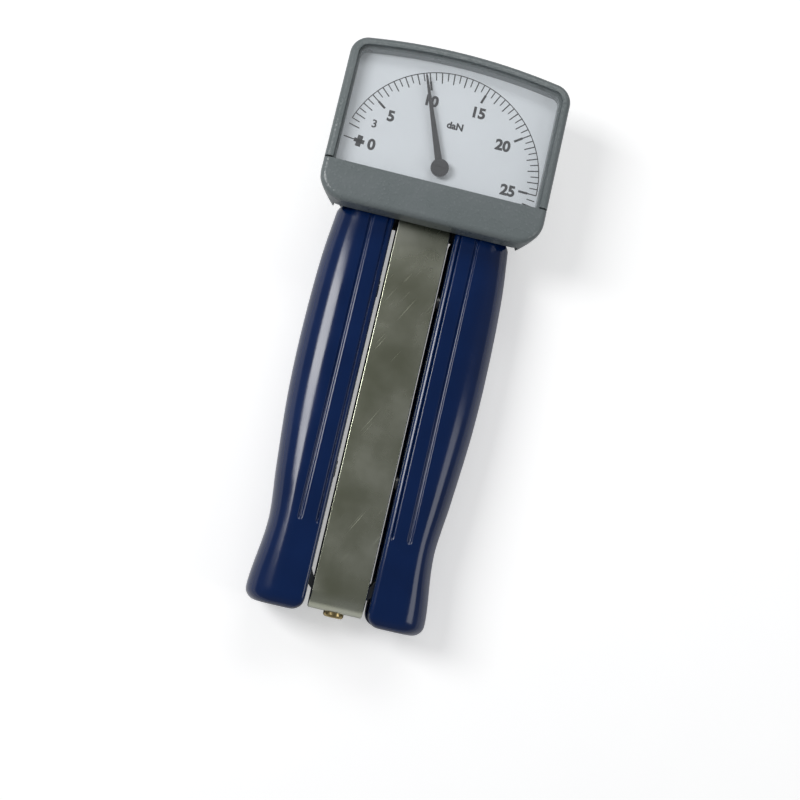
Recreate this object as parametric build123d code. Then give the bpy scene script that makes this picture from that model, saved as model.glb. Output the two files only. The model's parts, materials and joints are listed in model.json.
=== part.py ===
from build123d import *
import os
from math import acos, atan2, cos, degrees, hypot, pi, radians, sin, sqrt, tan

# Hand dynamometer lying on its back.
# X runs across, Y along the handle towards the head, Z out of the dial.
# The origin is under the middle of the object, on the surface that it lies on. All sizes are in millimetres.

# Overall sizes
overall_length = 152.0
head_width = 60.0
head_depth = 27.0
grip_depth = 20.5

# Clearances
shaft_clearance = 0.03
press_clearance = 0.01
seat_clearance = 0.1
working_gap = 0.5

# Head outline
head_length = 47.0
top_rise = 2.8
top_corner_radius = 5.0
low_corner_radius = 7.0
facet_angle = 31.0
facet_lean = 14.0
facet_start_depth = 2.0
rear_draft = 10.0
edge_radius = 1.6

# Head shells
case_wall = 1.8
rear_floor = 2.0
rear_depth = 13.0
panel_height = 10.3
panel_plate = 1.8
frame_height = 5.3
frame_width = 2.9
frame_seam = 0.5
lens_rebate = 2.2
lens_thickness = 1.0
lens_recess = 0.6
ledge_width = 1.6
ledge_height = 1.5
grip_window_half = 25.0

# Dial and pointer
pivot_below_top = 31.6
dial_thickness = 0.8
dial_inset = 2.0
dial_tail = 6.5
dial_hole_radius = 1.6
pointer_length = 26.1
pointer_thickness = 0.4
pointer_rise = 1.4
pointer_root_width = 2.0
pointer_tip_width = 0.5
pointer_angle = 110.3
hub_radius = 2.4
hub_height = 0.7

# Strap between the grips
strap_width = 14.2
strap_thickness = 1.1
strap_recess = 2.2
strap_bend_radius = 5.5
strap_end_gap = 1.4
strap_tongue = 6.5
strap_edge_radius = 0.3
strap_seat_half = 6.0
strap_seat_length = 4.2

# Main spring
spring_thickness = 2.2
spring_width = 10.0
spring_leg_outer = 11.1
spring_leg_top = 38.5

# Grips
grip_inner = 8.3
grip_flat_to = 15.8
grip_corner_radius = 1.2
grip_end_radius = 3.0
grip_roundness = 0.62
grip_top_inside = 2.0
grip_side = [
    (0.0, 23.8), (14.0, 25.1), (34.0, 25.6), (52.0, 25.2), (72.0, 23.6), (86.0, 22.3), (101.0, 23.8), (107.0, 24.0)
]
grip_sections = 17
groove_radius = 0.62
groove_lift = 0.1
groove_places = (9.6, 14.4)
groove_end_above_bottom = 22.6
channel_clearance = 0.15
pocket_reach = 19.2
pocket_rib = 3.5
pocket_places = ((24.0, 16.0), (8.0, -7.0), (-11.0, -34.0), (-42.0, -52.0))

# Screws and rivets
grip_screw_places = (12.0, -38.0)
grip_screw_radius = 1.2
grip_screw_head_radius = 2.2
grip_screw_head_height = 0.9
grip_screw_reach = 6.0
end_screw_radius = 1.5
end_screw_head_radius = 2.7
end_screw_head_height = 1.4
end_screw_length = 12.4
nut_across = 5.5
nut_height = 2.2
saddle_thickness = 1.0
saddle_half_length = 5.0
saddle_half_width = 2.6
anchor_half_width = 6.0
anchor_length = 6.0
case_screw_radius = 1.2
case_screw_head_radius = 2.4
case_screw_cone = 1.2
case_screw_length = 17.0
case_boss_radius = 2.6
case_boss_height = 6.5
case_boss_web = 1.6
case_screw_places = ((-23.6, 67.5), (23.6, 67.5), (-23.6, 48.5), (23.6, 48.5))
small_screw_radius = 0.8
small_head_radius = 1.6
small_head_height = 0.9
slot_width = 0.5
slot_depth = 0.4
dial_post_radius = 2.2
dial_post_place = (13.0, 35.5)
rivet_radius = 0.8
rivet_head_radius = 1.4
rivet_head_height = 0.5

# Movement
module = 0.4
pinion_teeth = 10
sector_teeth = 105
pressure_angle = 25.0
addendum_share = 0.8
dedendum_share = 1.05
backlash = 0.05
sector_first_tooth = -5
sector_last_tooth = 4
sector_rim = 2.2
sector_spoke = 2.4
sector_hub_radius = 2.8
sector_thickness = 1.2
sector_arm = 5.0
sector_rise = 2.4
fork_width = 3.2
fork_reach = 1.5
pinion_height = 2.4
arbor_radius = 0.8
drive_pin_radius = 0.6
drive_pin_clearance = 0.05
plate_thickness = 1.2
plate_underside = 12.8
pillar_height = 4.4
pillar_radius = 1.7
pillar_places = ((8.0, 41.5), (-8.0, 55.0), (-16.3, 50.8))
bush_radius = 1.7
arm_thickness = 1.0
arm_width = 3.2
arm_top = 12.4
guide_arm_reach = 5.0
stop_pin_radius = 0.6
stop_pin_circle = 12.0
stop_pin_clearance = 0.15
spring_collet_radius = 1.4
hairspring_turns = 3.0
hairspring_outer = 5.2
hairspring_wire = 0.22
hairspring_height = 0.4

# Reset knob
knob_radius = 5.6
knob_height = 3.6
knob_lift = 0.5
knob_flutes = 16
knob_flute_radius = 0.5
knob_well_clearance = 0.6
knob_well_wall = 1.4
knob_shaft_radius = 1.5
knob_shaft_top = 9.6
clip_thickness = 0.5
clip_radius = 2.8
finger_thickness = 1.2
finger_reach = 6.5
finger_width = 2.0
finger_pin_radius = 0.5
finger_pin_height = 0.7
return_arm_lift = 0.6

# Reading shown by the pointer at rest, and the scale that it runs over
scale_start_angle = 175.0
scale_end_angle = -0.5

# Places worked out from the sizes above
top_y = overall_length / 2
bottom_y = -overall_length / 2
head_half = head_width / 2
head_low_y = top_y - head_length
panel_top_y = head_low_y + panel_height
pivot_y = top_y - pivot_below_top
rim_z = head_depth - frame_height
dial_top_z = rim_z + dial_thickness
lens_top_z = head_depth - lens_recess
lens_low_z = lens_top_z - lens_thickness
pointer_z = dial_top_z + pointer_rise
strap_front_z = grip_depth - strap_recess
strap_back_z = rear_floor
strap_mid_z = (strap_front_z + strap_back_z) / 2
strap_end_y = bottom_y + strap_end_gap
strap_top_y = head_low_y + strap_tongue
strap_half = strap_width / 2
spring_low_z = strap_mid_z - spring_width / 2
spring_high_z = strap_mid_z + spring_width / 2
spring_leg_inner = spring_leg_outer - spring_thickness
bend_y = strap_end_y + strap_thickness + saddle_thickness + spring_leg_outer
hinge_x = spring_leg_outer - spring_thickness / 2
grip_top_y = head_low_y + grip_top_inside
pinion_pitch = module * pinion_teeth / 2
sector_pitch = module * sector_teeth / 2
gear_centres = pinion_pitch + sector_pitch
sector_x = -sqrt(gear_centres**2 - sector_rise**2)
sector_y = pivot_y - sector_rise
mesh_angle = degrees(atan2(pivot_y - sector_y, -sector_x))
plate_top = plate_underside + plate_thickness
bridge_underside = plate_top + pillar_height
bridge_top = bridge_underside + plate_thickness
pinion_low_z = plate_top + 1.2
sector_low_z = pinion_low_z + (pinion_height - sector_thickness) / 2
drive_pin_y = sector_y - sector_arm
spring_leg_flange = 4.6

# How the moving pieces are geared to each other
lever_ratio = (drive_pin_y - bend_y) / sector_arm
train_ratio = lever_ratio * sector_teeth / pinion_teeth
squeeze_to_full = (pointer_angle - scale_end_angle) / train_ratio
squeeze_to_zero = (scale_start_angle - pointer_angle) / train_ratio
sector_to_full = squeeze_to_full * lever_ratio
sector_to_zero = squeeze_to_zero * lever_ratio

MIN_Z = (Align.CENTER, Align.CENTER, Align.MIN)


def block(x0, x1, y0, y1, z0, z1):
    return Pos((x0 + x1) / 2, (y0 + y1) / 2, z0) * Box(x1 - x0, y1 - y0, z1 - z0, align=MIN_Z)


def disc(radius, z0, z1, x=0.0, y=0.0):
    return Pos(x, y, z0) * Cylinder(radius, z1 - z0, align=MIN_Z)


def ring(outer, inner, z0, z1, x=0.0, y=0.0):
    return disc(outer, z0, z1, x, y) - disc(inner, z0 - 1, z1 + 1, x, y)


def rod_x(radius, x0, x1, y, z):
    return Pos(min(x0, x1), y, z) * Rot(0, 90, 0) * Cylinder(radius, abs(x1 - x0), align=MIN_Z)


def rod_y(radius, y0, y1, x, z):
    return Pos(x, max(y0, y1), z) * Rot(90, 0, 0) * Cylinder(radius, abs(y1 - y0), align=MIN_Z)


def flat_plate(points, z0, z1, corner=0.0):
    """A plate of the given outline, with its upright corners rounded."""
    outline = make_face(Polyline(*points, close=True))
    if corner:
        outline = fillet(outline.vertices(), corner)
    return extrude(Pos(0, 0, z0) * outline, amount=z1 - z0)


def mirrored(shape):
    return mirror(shape, about=Plane.YZ)


# Head shells


def head_outline(inset=0.0):
    """The head seen from the front: arched top, small top corners and large low corners."""
    shoulder_y = top_y - top_rise
    edges = [
        ThreePointArc((-head_half, shoulder_y), (0, top_y), (head_half, shoulder_y)),
        Line((head_half, shoulder_y), (head_half, head_low_y)),
        Line((head_half, head_low_y), (-head_half, head_low_y)),
        Line((-head_half, head_low_y), (-head_half, shoulder_y)),
    ]
    face = make_face(edges)
    face = fillet(face.vertices().group_by(Axis.Y)[-1], top_corner_radius)
    face = fillet(face.vertices().group_by(Axis.Y)[0], low_corner_radius)
    if inset:
        face = offset(face, amount=-inset)
    return face


def facet_cutters(inset=0.0):
    """Slanting blocks that slice the low corners, so that the head narrows towards its back."""
    across = radians(facet_angle)
    lean = radians(facet_lean)
    reach = low_corner_radius - inset
    cutters = []
    for side in (-1, 1):
        normal = (side * cos(across) * cos(lean), -sin(across) * cos(lean), -sin(lean))
        point = (
            side * (head_half - low_corner_radius + reach * cos(across)),
            head_low_y + low_corner_radius - reach * sin(across),
            head_depth - facet_start_depth,
        )
        cutters.append(Plane(origin=point, z_dir=normal) * Box(90, 90, 40, align=MIN_Z))
    return cutters


def head_prism(inset, z0, z1):
    prism = extrude(Pos(0, 0, z0) * head_outline(inset), amount=z1 - z0)
    for cutter in facet_cutters(inset):
        prism -= cutter
    return prism


def rear_prism(inset, z0):
    """The drafted rear half, from the case seam down to z0."""
    face = Pos(0, 0, rear_depth) * head_outline(inset)
    prism = extrude(face, amount=rear_depth - z0, dir=(0, 0, -1), taper=rear_draft)
    for cutter in facet_cutters(inset):
        prism -= cutter
    return prism


def grip_passage():
    """The space at the low end of the head that the grips, spring and strap come in through."""
    top_z = grip_depth + working_gap
    deep = block(
        -grip_window_half, grip_window_half, head_low_y - 1, head_low_y + 4.4, rear_floor, top_z
    )
    sides = [
        block(strap_half, grip_window_half, head_low_y - 1, grip_top_y + 0.6, -1, top_z),
        block(-grip_window_half, -strap_half, head_low_y - 1, grip_top_y + 0.6, -1, top_z),
    ]
    return [deep] + sides


def front_case():
    walls = head_prism(0.0, rear_depth, rim_z)
    zone = block(-head_half, head_half, 0, panel_top_y, 0, head_depth + 1)
    panel = head_prism(0.0, rear_depth, head_depth) & zone
    front_edges = panel.edges().filter_by_position(Axis.Z, head_depth, head_depth)
    panel_edge = front_edges.sort_by(Axis.Y)[-1]
    panel = fillet([e for e in front_edges if e != panel_edge], edge_radius)
    case = walls + panel
    case -= head_prism(case_wall, rear_depth, dial_top_z + seat_clearance)
    under_panel = block(
        -head_half, head_half, 0, panel_top_y - case_wall, 0, head_depth - panel_plate
    )
    case -= head_prism(case_wall, rear_depth, head_depth) & under_panel
    ledge_zone = block(-head_half, head_half, panel_top_y, top_y, 0, head_depth)
    ledge = head_prism(case_wall - seat_clearance, rim_z - ledge_height, rim_z)
    ledge -= head_prism(case_wall + ledge_width, rear_depth, rim_z + 1)
    case += ledge & ledge_zone
    boss_top = rear_depth + case_boss_height
    for x, y in case_screw_places:
        wall_x = (head_half - case_wall / 2) * (1 if x > 0 else -1)
        case += disc(case_boss_radius, rear_depth, boss_top, x, y)
        case += block(
            min(x, wall_x), max(x, wall_x), y - case_boss_web / 2, y + case_boss_web / 2, rear_depth, boss_top
        )
    for cut in grip_passage():
        case -= cut
    under_z = head_depth - panel_plate
    for side in (-1, 1):
        post_x = side * dial_post_place[0]
        case += disc(dial_post_radius, dial_top_z, under_z, post_x, dial_post_place[1])
        case -= disc(small_screw_radius + press_clearance, 0, under_z - 0.6, post_x, dial_post_place[1])
    seat_y = head_low_y + case_wall
    case += block(
        -strap_seat_half, strap_seat_half, seat_y, seat_y + strap_seat_length, strap_front_z, under_z
    )
    case -= disc(small_screw_radius + press_clearance, 0, strap_front_z + 4, 0, seat_y + strap_seat_length / 2)
    for x, y in case_screw_places:
        case -= disc(case_screw_radius + press_clearance, 0, case_screw_length + 0.6, x, y)
    return case


def rear_case():
    case = rear_prism(0.0, 0.0) - rear_prism(case_wall, rear_floor)
    for x, y in pillar_places:
        case += disc(pillar_radius + 0.6, rear_floor - 0.5, plate_underside, x, y)
    for x, y in case_screw_places:
        case += disc(case_boss_radius, rear_floor - 0.5, rear_depth, x, y) & rear_prism(0.0, 0.0)
    for cut in grip_passage():
        case -= cut
    well = knob_radius + knob_well_clearance
    well_top = knob_lift + knob_height + knob_well_clearance
    case += disc(well + knob_well_wall, 0, well_top + knob_well_wall, 0, pivot_y)
    case -= disc(well, -1, well_top, 0, pivot_y)
    case -= disc(knob_shaft_radius + shaft_clearance, -1, rear_depth, 0, pivot_y)
    for x, y in case_screw_places:
        case -= disc(case_screw_radius + seat_clearance, -1, rear_depth + 1, x, y)
        case -= Pos(x, y, 0) * Cone(
            case_screw_head_radius + seat_clearance,
            case_screw_radius + seat_clearance,
            case_screw_cone + seat_clearance,
            align=MIN_Z,
        )
    for x, y in pillar_places:
        case -= disc(small_screw_radius + press_clearance, plate_underside - 6, plate_underside + 1, x, y)
    tongue_screw_y = head_low_y + case_wall + strap_seat_length / 2
    case -= disc(small_screw_radius + press_clearance, 0.5, rear_floor + 1, 0, tongue_screw_y)
    return case


def window_frame():
    """The bent rim: closed at the top and both sides, open where it meets the panel."""
    frame = head_prism(0.0, rim_z, head_depth)
    frame = fillet(frame.edges().filter_by_position(Axis.Z, head_depth, head_depth), edge_radius)
    frame -= head_prism(frame_width, 0, head_depth + 1)
    frame -= head_prism(lens_rebate, lens_low_z, head_depth + 1)
    frame -= head_prism(dial_inset - seat_clearance, 0, dial_top_z)
    frame -= block(-head_half, head_half, 0, panel_top_y + frame_seam, 0, head_depth + 1)
    return frame


def window_lens():
    lens = head_prism(lens_rebate + seat_clearance, lens_low_z, lens_top_z)
    lens -= block(-head_half, head_half, 0, panel_top_y + seat_clearance, 0, head_depth)
    rim = lens.edges().filter_by_position(Axis.Z, lens_top_z, lens_top_z)
    return chamfer(rim, 0.25)


def dial_plate():
    plate = head_prism(dial_inset, rim_z, dial_top_z)
    plate -= block(-head_half, head_half, 0, panel_top_y - dial_tail, 0, head_depth)
    plate -= disc(dial_hole_radius, 0, head_depth, 0, pivot_y)
    notch_half = strap_seat_half + seat_clearance
    notch_top = head_low_y + case_wall + strap_seat_length + seat_clearance
    plate -= block(-notch_half, notch_half, 0, notch_top, 0, head_depth)
    for side in (-1, 1):
        plate -= disc(small_screw_radius + seat_clearance, 0, head_depth, side * dial_post_place[0], dial_post_place[1])
    return plate


# Screws


def slotted_head(radius, height, z, up=True):
    """A flat head that stands on z, or hangs below it, with a driver slot in its free face."""
    if up:
        head = disc(radius, z, z + height)
        head -= block(-radius, radius, -slot_width / 2, slot_width / 2, z + height - slot_depth, z + height + 1)
    else:
        head = disc(radius, z - height, z)
        head -= block(-radius, radius, -slot_width / 2, slot_width / 2, z - height - 1, z - height + slot_depth)
    return head


def small_screw(z_seat, length, up=True):
    """A small screw whose head lies on z_seat and whose shank goes the other way."""
    head = slotted_head(small_head_radius, small_head_height, z_seat, up)
    if up:
        return head + disc(small_screw_radius, z_seat - length, z_seat)
    return head + disc(small_screw_radius, z_seat, z_seat + length)


def case_screws():
    screws = []
    for x, y in case_screw_places:
        cone = Pos(x, y, seat_clearance) * Cone(
            case_screw_head_radius, case_screw_radius, case_screw_cone, align=MIN_Z
        )
        shank = disc(case_screw_radius, seat_clearance + case_screw_cone, case_screw_length, x, y)
        slot = Pos(x, y, 0) * block(-3, 3, -slot_width / 2, slot_width / 2, 0, seat_clearance + slot_depth)
        screws.append(cone + shank - slot)
    return screws


def dial_screws():
    length = head_depth - panel_plate - 1.0 - rim_z
    screw = small_screw(rim_z, length, up=False)
    return [Pos(side * dial_post_place[0], dial_post_place[1], 0) * screw for side in (-1, 1)]


def strap_top_screws():
    y = head_low_y + case_wall + strap_seat_length / 2
    front = small_screw(strap_front_z - strap_thickness, 4.4, up=False)
    back = small_screw(strap_back_z + strap_thickness, 2.4, up=True)
    return [Pos(0, y, 0) * front, Pos(0, y, 0) * back]


# Handle


def center_strap():
    """A bright strip down the front, over the bottom end and up the back."""
    radius = strap_bend_radius
    inner = radius - strap_thickness
    depth = strap_front_z - strap_back_z
    path_outer = [
        Line((strap_top_y, strap_front_z), (strap_end_y + radius, strap_front_z)),
        CenterArc((strap_end_y + radius, strap_front_z - radius), radius, 90, 90),
        Line((strap_end_y, strap_front_z - radius), (strap_end_y, strap_back_z + radius)),
        CenterArc((strap_end_y + radius, strap_back_z + radius), radius, 180, 90),
        Line((strap_end_y + radius, strap_back_z), (strap_top_y, strap_back_z)),
        Line((strap_top_y, strap_back_z), (strap_top_y, strap_back_z + strap_thickness)),
        Line((strap_top_y, strap_back_z + strap_thickness), (strap_end_y + radius, strap_back_z + strap_thickness)),
        CenterArc((strap_end_y + radius, strap_back_z + radius), inner, 180, 90),
        Line(
            (strap_end_y + strap_thickness, strap_back_z + radius),
            (strap_end_y + strap_thickness, strap_front_z - radius),
        ),
        CenterArc((strap_end_y + radius, strap_front_z - radius), inner, 90, 90),
        Line(
            (strap_end_y + radius, strap_front_z - strap_thickness),
            (strap_top_y, strap_front_z - strap_thickness),
        ),
        Line((strap_top_y, strap_front_z - strap_thickness), (strap_top_y, strap_front_z)),
    ]
    profile = Plane.YZ.offset(-strap_half) * make_face(path_outer)
    strap = extrude(profile, amount=strap_width)
    side_edges = strap.edges().filter_by_position(Axis.X, strap_half, strap_half)
    side_edges += strap.edges().filter_by_position(Axis.X, -strap_half, -strap_half)
    long_edges = [e for e in side_edges if e.length > 4 * strap_thickness]
    strap = fillet(long_edges, strap_edge_radius)
    strap -= rod_y(end_screw_radius + seat_clearance, strap_end_y - 1, strap_end_y + 3, 0, strap_mid_z)
    screw_y = head_low_y + case_wall + strap_seat_length / 2
    strap -= disc(small_screw_radius + seat_clearance, 0, depth + 10, 0, screw_y)
    return strap


def main_spring():
    """A flat strip bent to a U: two straight legs and a round bend."""
    legs = block(
        -spring_leg_outer, spring_leg_outer, bend_y, spring_leg_top, spring_low_z, spring_high_z
    ) - block(-spring_leg_inner, spring_leg_inner, bend_y - 1, spring_leg_top + 1, 0, head_depth)
    bend = ring(spring_leg_outer, spring_leg_inner, spring_low_z, spring_high_z, 0, bend_y)
    bend -= block(-head_half, head_half, bend_y, bend_y + 40, 0, head_depth)
    spring = legs + bend
    spring -= rod_y(end_screw_radius + seat_clearance, strap_end_y - 1, bend_y, 0, strap_mid_z)
    for y in grip_screw_places:
        spring -= rod_x(grip_screw_radius + seat_clearance, -head_half, head_half, y, strap_mid_z)
    for z in rivet_heights():
        spring -= rod_x(rivet_radius + press_clearance, -head_half, head_half, rivet_y(), z)
    return spring


def saddle_washer():
    """Fills the space between the flat end of the strap and the round bend of the spring."""
    low_y = strap_end_y + strap_thickness
    saddle = block(
        -saddle_half_length,
        saddle_half_length,
        low_y,
        low_y + 3 * saddle_thickness,
        strap_mid_z - saddle_half_width,
        strap_mid_z + saddle_half_width,
    )
    saddle -= disc(spring_leg_outer, 0, head_depth, 0, bend_y)
    return saddle - rod_y(end_screw_radius + seat_clearance, low_y - 1, bend_y, 0, strap_mid_z)


def anchor_block():
    """Fills the inside of the spring bend, so that the end screw can pull on it."""
    low_y = bend_y - spring_leg_inner
    body = block(
        -anchor_half_width, anchor_half_width, low_y - 1, low_y + anchor_length, spring_low_z, spring_high_z
    )
    body &= disc(spring_leg_inner, 0, head_depth, 0, bend_y)
    body -= rod_y(end_screw_radius + shaft_clearance, low_y - 1, low_y + anchor_length + 1, 0, strap_mid_z)
    upright = body.edges().filter_by(Axis.Z)
    return chamfer(upright.sort_by(Axis.Y)[-2:], 0.8)


def end_screw():
    """Pan head screw in the bottom end of the strap."""
    head = rod_y(end_screw_head_radius, strap_end_y, strap_end_y - end_screw_head_height, 0, strap_mid_z)
    rim = head.edges().filter_by_position(
        Axis.Y, strap_end_y - end_screw_head_height, strap_end_y - end_screw_head_height
    )
    head = fillet(rim, 0.7)
    head -= block(
        -end_screw_head_radius,
        end_screw_head_radius,
        strap_end_y - end_screw_head_height - 1,
        strap_end_y - end_screw_head_height + 0.6,
        strap_mid_z - 0.4,
        strap_mid_z + 0.4,
    )
    shank = rod_y(end_screw_radius, strap_end_y, strap_end_y + end_screw_length, 0, strap_mid_z)
    return head + shank


def anchor_nut():
    low_y = bend_y - spring_leg_inner + anchor_length
    hexagon = RegularPolygon(radius=nut_across / 2, side_count=6, major_radius=False)
    nut = extrude(Plane.XZ.offset(-low_y) * Pos(0, strap_mid_z) * hexagon, amount=-nut_height)
    return nut - rod_y(end_screw_radius + press_clearance, low_y - 1, low_y + nut_height + 1, 0, strap_mid_z)


def grip_section(y, reach):
    """A slice of the right grip: flat inside and front, full and round outside."""
    mid = grip_depth / 2
    r = grip_corner_radius
    soft = grip_roundness
    a = reach - grip_flat_to

    def p(x, z):
        return (x, y, z)

    arc_shift = r * (1 - cos(radians(45)))
    edges = [
        Line(p(grip_inner, r), p(grip_inner, grip_depth - r)),
        ThreePointArc(
            p(grip_inner, grip_depth - r),
            p(grip_inner + arc_shift, grip_depth - arc_shift),
            p(grip_inner + r, grip_depth),
        ),
        Line(p(grip_inner + r, grip_depth), p(grip_flat_to, grip_depth)),
        Bezier(
            p(grip_flat_to, grip_depth),
            p(grip_flat_to + soft * a, grip_depth),
            p(reach, mid + soft * mid),
            p(reach, mid),
        ),
        Bezier(
            p(reach, mid),
            p(reach, mid - soft * mid),
            p(grip_flat_to + soft * a, 0),
            p(grip_flat_to, 0),
        ),
        Line(p(grip_flat_to, 0), p(grip_inner + r, 0)),
        ThreePointArc(
            p(grip_inner + r, 0), p(grip_inner + arc_shift, arc_shift), p(grip_inner, r)
        ),
    ]
    return make_face(edges)


def right_grip():
    side = Spline(*[(reach, grip_top_y - down) for down, reach in grip_side])
    points = [side @ (n / (grip_sections - 1)) for n in range(grip_sections)]
    grip = loft([grip_section(point.Y, point.X) for point in points])
    end = grip.faces().sort_by(Axis.Y)[0]
    grip = fillet(end.edges(), grip_end_radius)
    for x in groove_places:
        end_y = bottom_y + groove_end_above_bottom
        for z in (grip_depth + groove_lift, -groove_lift):
            grip -= rod_y(groove_radius, end_y, grip_top_y + 1, x, z)
            grip -= Pos(x, end_y, z) * Sphere(groove_radius)
    low_z = spring_low_z - channel_clearance
    high_z = spring_high_z + channel_clearance
    grip -= block(0, spring_leg_outer, bottom_y - 1, grip_top_y + 1, low_z, high_z)
    for y_high, y_low in pocket_places:
        grip -= block(0, pocket_reach, y_low, y_high, low_z + 0.4, high_z - 0.4)
    for y in grip_screw_places:
        grip -= rod_x(
            grip_screw_radius + press_clearance, 0, spring_leg_outer + grip_screw_reach + 0.5, y, strap_mid_z
        )
    return grip


def right_grip_screws():
    screws = []
    for y in grip_screw_places:
        head = rod_x(
            grip_screw_head_radius, spring_leg_inner - grip_screw_head_height, spring_leg_inner, y, strap_mid_z
        )
        head -= block(
            0,
            spring_leg_inner - grip_screw_head_height + slot_depth,
            y - 3,
            y + 3,
            strap_mid_z - slot_width / 2,
            strap_mid_z + slot_width / 2,
        )
        shank = rod_x(
            grip_screw_radius, spring_leg_inner, spring_leg_outer + grip_screw_reach, y, strap_mid_z
        )
        screws.append(head + shank)
    return screws


# Arms on the ends of the spring legs


def rivet_heights():
    return (spring_low_z + 1.85, spring_low_z + 4.75)


def rivet_y():
    return spring_leg_top - spring_leg_flange / 2


def leg_arm(reach_x, pad_radius):
    """An angle bracket on the outer face of the right spring leg, with a flat arm that points outwards."""
    flange = block(
        spring_leg_outer,
        spring_leg_outer + arm_thickness,
        spring_leg_top - spring_leg_flange,
        spring_leg_top,
        spring_low_z + 0.4,
        arm_top,
    )
    arm = block(
        spring_leg_outer,
        reach_x,
        drive_pin_y - arm_width / 2,
        drive_pin_y + arm_width / 2,
        arm_top - arm_thickness,
        arm_top,
    )
    pad = disc(pad_radius, arm_top - arm_thickness, arm_top, reach_x, drive_pin_y)
    body = flange + arm + pad
    for z in rivet_heights():
        body -= rod_x(rivet_radius + press_clearance, 0, head_half, rivet_y(), z)
    return body


def left_drive_arm():
    arm = mirrored(leg_arm(-sector_x, arm_width / 2))
    return arm - disc(drive_pin_radius + press_clearance, 0, head_depth, sector_x, drive_pin_y)


def right_guide_arm():
    return leg_arm(spring_leg_outer + guide_arm_reach, arm_width / 2)


def drive_pin():
    pin_top = sector_low_z + sector_thickness + 0.4
    pin = disc(drive_pin_radius, arm_top - arm_thickness, pin_top, sector_x, drive_pin_y)
    return chamfer(pin.edges().filter_by(GeomType.CIRCLE), 0.15)


def right_arm_rivets():
    rivets = []
    for z in rivet_heights():
        shank = rod_x(rivet_radius, spring_leg_inner, spring_leg_outer + arm_thickness, rivet_y(), z)
        inner = rod_x(rivet_head_radius, spring_leg_inner - rivet_head_height, spring_leg_inner, rivet_y(), z)
        outer_x = spring_leg_outer + arm_thickness
        outer = rod_x(rivet_head_radius, outer_x, outer_x + rivet_head_height, rivet_y(), z)
        rivets.append(shank + inner + outer)
    return rivets


# Movement


def movement_outline(z0, z1, low_y):
    points = [
        (-26.0, low_y),
        (11.6, low_y),
        (11.6, 46.5),
        (-3.5, 59.0),
        (-11.5, 59.0),
        (-20.0, 53.0),
        (-20.0, 45.2),
        (-26.0, 45.0),
    ]
    return flat_plate(points, z0, z1, 1.5)


def plate_with_holes(z0, z1):
    plate = movement_outline(z0, z1, spring_leg_top + 0.7)
    for x, y in ((0.0, pivot_y), (sector_x, sector_y)):
        plate -= disc(bush_radius + press_clearance, 0, head_depth, x, y)
    for x, y in pillar_places:
        plate -= disc(small_screw_radius + seat_clearance, 0, head_depth, x, y)
    return plate


def stop_pin_places():
    """Each pin stands just clear of the sector's spoke at one end of its swing."""
    reach = sector_spoke / 2 + stop_pin_radius + stop_pin_clearance
    spread = degrees(reach / stop_pin_circle)
    angles = (mesh_angle + sector_to_full + spread, mesh_angle - sector_to_zero - spread)
    return [
        (sector_x + stop_pin_circle * cos(radians(a)), sector_y + stop_pin_circle * sin(radians(a)))
        for a in angles
    ]


def movement_plate():
    plate = plate_with_holes(plate_underside, plate_top)
    for x, y in stop_pin_places():
        plate -= disc(stop_pin_radius + press_clearance, 0, head_depth, x, y)
    return plate


def movement_bridge():
    bridge = plate_with_holes(bridge_underside, bridge_top)
    stud_x, stud_y = hairspring_end()
    bridge -= disc(arbor_radius / 2 + press_clearance, 0, head_depth, stud_x, stud_y)
    return bridge


def movement_pillars():
    return [
        ring(pillar_radius, small_screw_radius + seat_clearance, plate_top, bridge_underside, x, y)
        for x, y in pillar_places
    ]


def movement_screws():
    length = bridge_top - plate_underside + 5
    return [Pos(x, y, 0) * small_screw(bridge_top, length) for x, y in pillar_places]


def arbor_bushes():
    bushes = []
    for x, y in ((0.0, pivot_y), (sector_x, sector_y)):
        for z0, z1 in ((plate_underside, plate_top), (bridge_underside, bridge_top)):
            bushes.append(ring(bush_radius, arbor_radius + shaft_clearance, z0, z1, x, y))
    return bushes


def stop_pins():
    top_z = sector_low_z + sector_thickness + 0.3
    return [disc(stop_pin_radius, plate_underside, top_z, x, y) for x, y in stop_pin_places()]


def involute_half_angle(pitch_radius, radius):
    """Half the angle that a tooth covers at this radius."""
    alpha = radians(pressure_angle)
    base = pitch_radius * cos(alpha)
    teeth = 2 * pitch_radius / module
    at_pitch = pi / (2 * teeth) - backlash / (2 * pitch_radius)
    angle = acos(min(1.0, base / radius))
    return at_pitch + (tan(alpha) - alpha) - (tan(angle) - angle)


def tooth_flank(pitch_radius):
    """Radius and half angle of points from the root of a tooth to its tip."""
    base = pitch_radius * cos(radians(pressure_angle))
    root = pitch_radius - dedendum_share * module
    tip = pitch_radius + addendum_share * module
    start = max(base, root)
    flank = [(start + (tip - start) * share, None) for share in (0.0, 0.35, 0.7, 1.0)]
    flank = [(radius, involute_half_angle(pitch_radius, radius)) for radius, _ in flank]
    if base > root:
        flank.insert(0, (root, flank[0][1]))
    return flank


def polar(radius, angle, x=0.0, y=0.0):
    return (x + radius * cos(angle), y + radius * sin(angle))


def pinion_arbor():
    flank = tooth_flank(pinion_pitch)
    first_gap = radians(mesh_angle + 180)
    points = []
    for n in range(pinion_teeth):
        middle = first_gap + (n + 0.5) * 2 * pi / pinion_teeth
        points += [polar(radius, middle - half, 0, pivot_y) for radius, half in flank]
        points += [polar(radius, middle + half, 0, pivot_y) for radius, half in reversed(flank)]
    pinion = flat_plate(points, pinion_low_z, pinion_low_z + pinion_height)
    low_z = knob_shaft_top + finger_pin_height + return_arm_lift
    return pinion + disc(arbor_radius, low_z, pointer_z + pointer_thickness + 0.4, 0, pivot_y)


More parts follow.
